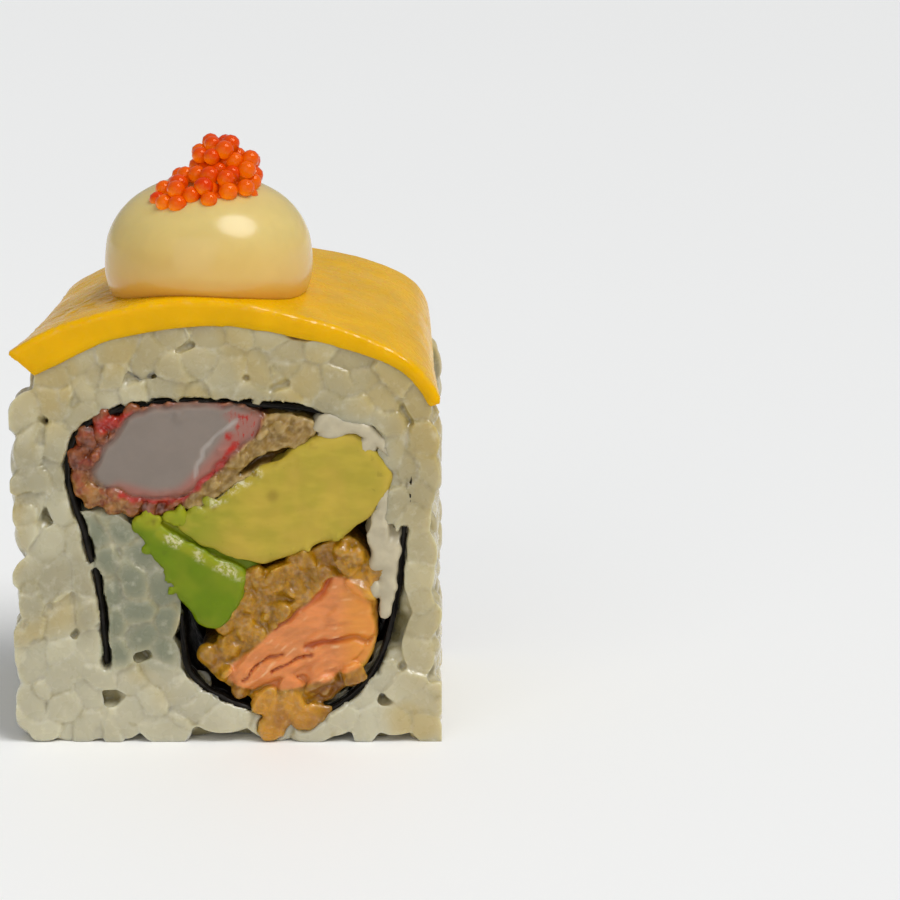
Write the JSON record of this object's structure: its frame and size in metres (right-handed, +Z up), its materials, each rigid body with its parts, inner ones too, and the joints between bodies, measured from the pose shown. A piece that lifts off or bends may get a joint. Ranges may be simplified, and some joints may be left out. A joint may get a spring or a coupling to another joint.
{
  "type": "uramaki sushi roll",
  "caption": "Single cut piece of inside-out sushi roll with seaweed-wound fillings, a bent mango slice, a sauce dome and a small heap of fish roe on top.",
  "frame": {"origin": "on the board, under the middle of the roll's box", "axes": "+Z up; +X across the cut face, to the right seen from the near cut; +Y along the roll, from the near cut to the far cut"},
  "size_m": [0.0442, 0.033, 0.0623],
  "materials": {
    "rice": "moist cooked grains, translucent off-white with a wet sheen",
    "nori": "damp toasted seaweed, nearly black",
    "crab_stick": "pale lilac-white core, red skin and brown-red crumb crust",
    "avocado": "buttery yellow flesh with a soft sheen",
    "avocado_green": "bright green flesh with a soft sheen",
    "cream_cheese": "smooth white cream",
    "salmon": "flaky orange-pink flesh in a golden-brown fried crust",
    "mango": "wet glossy yellow-orange fruit flesh",
    "mayonnaise": "smooth glossy cream-yellow sauce",
    "roe": "translucent glossy orange eggs"
  },
  "bodies": {
    "root": {"rice": "rice", "nori": "nori", "crab_stick": "crab_stick", "avocado_slice": "avocado", "avocado_green_slice": "avocado_green", "cream_cheese": "cream_cheese", "salmon_tempura": "salmon", "mango_slice": "mango", "mayonnaise_dollop": "mayonnaise", "flying_fish_roe": "roe"}
  },
  "joints": []
}
